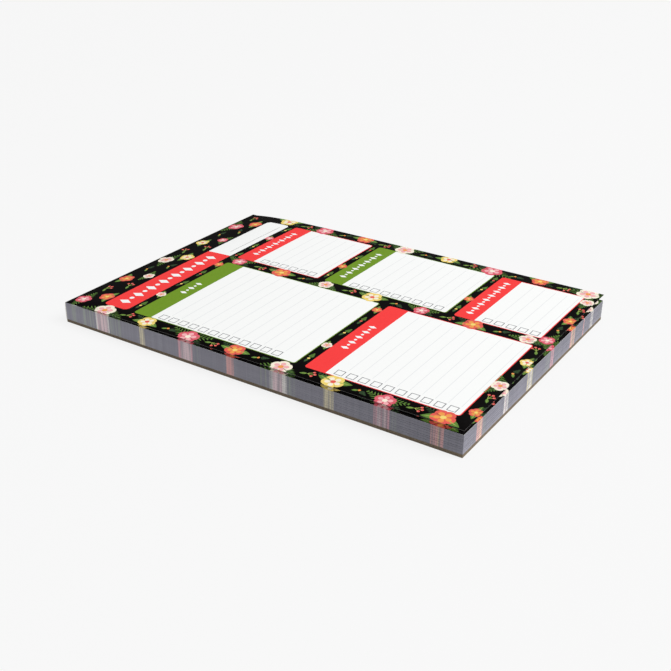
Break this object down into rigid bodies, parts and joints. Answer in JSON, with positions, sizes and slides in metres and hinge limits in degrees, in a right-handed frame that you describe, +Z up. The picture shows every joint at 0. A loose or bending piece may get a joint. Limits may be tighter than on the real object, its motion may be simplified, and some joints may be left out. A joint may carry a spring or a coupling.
{
  "type": "tear-off notepad",
  "caption": "Tear-off daily notepad: a glued pad of printed sheets on a chipboard back, its first sheet curling up from the glued head.",
  "frame": {"origin": "on the surface the pad lies on, under the middle of the pad with its glue film", "axes": "+X across the page from left to right, +Y from the page's foot to its glued head, +Z up through the printed face"},
  "size_m": [0.1588, 0.2292, 0.0146],
  "materials": {
    "chipboard": "grey-brown uncoated chipboard, cut edges",
    "page_edges": "cut edges of sheets printed to the edge, grey with streaks of colour",
    "paper": "smooth white uncoated writing paper",
    "padding_glue": "brushed-on milky padding glue, satin",
    "black_print": "full black print, slight sheen",
    "red_print": "flat red print",
    "green_print": "flat leaf-green print"
  },
  "bodies": {
    "root": {"back_board": "chipboard", "page_block": "page_edges", "top_sheet": "paper", "glue_binding": "padding_glue", "second_sheet_ground": "black_print", "print_ground": "black_print", "print_title_bar": "red_print", "print_left_upper_panel": "green_print", "print_left_lower_panel": "red_print", "print_right_upper_panel": "red_print", "print_right_middle_panel": "green_print", "print_right_lower_panel": "red_print"}
  },
  "joints": []
}
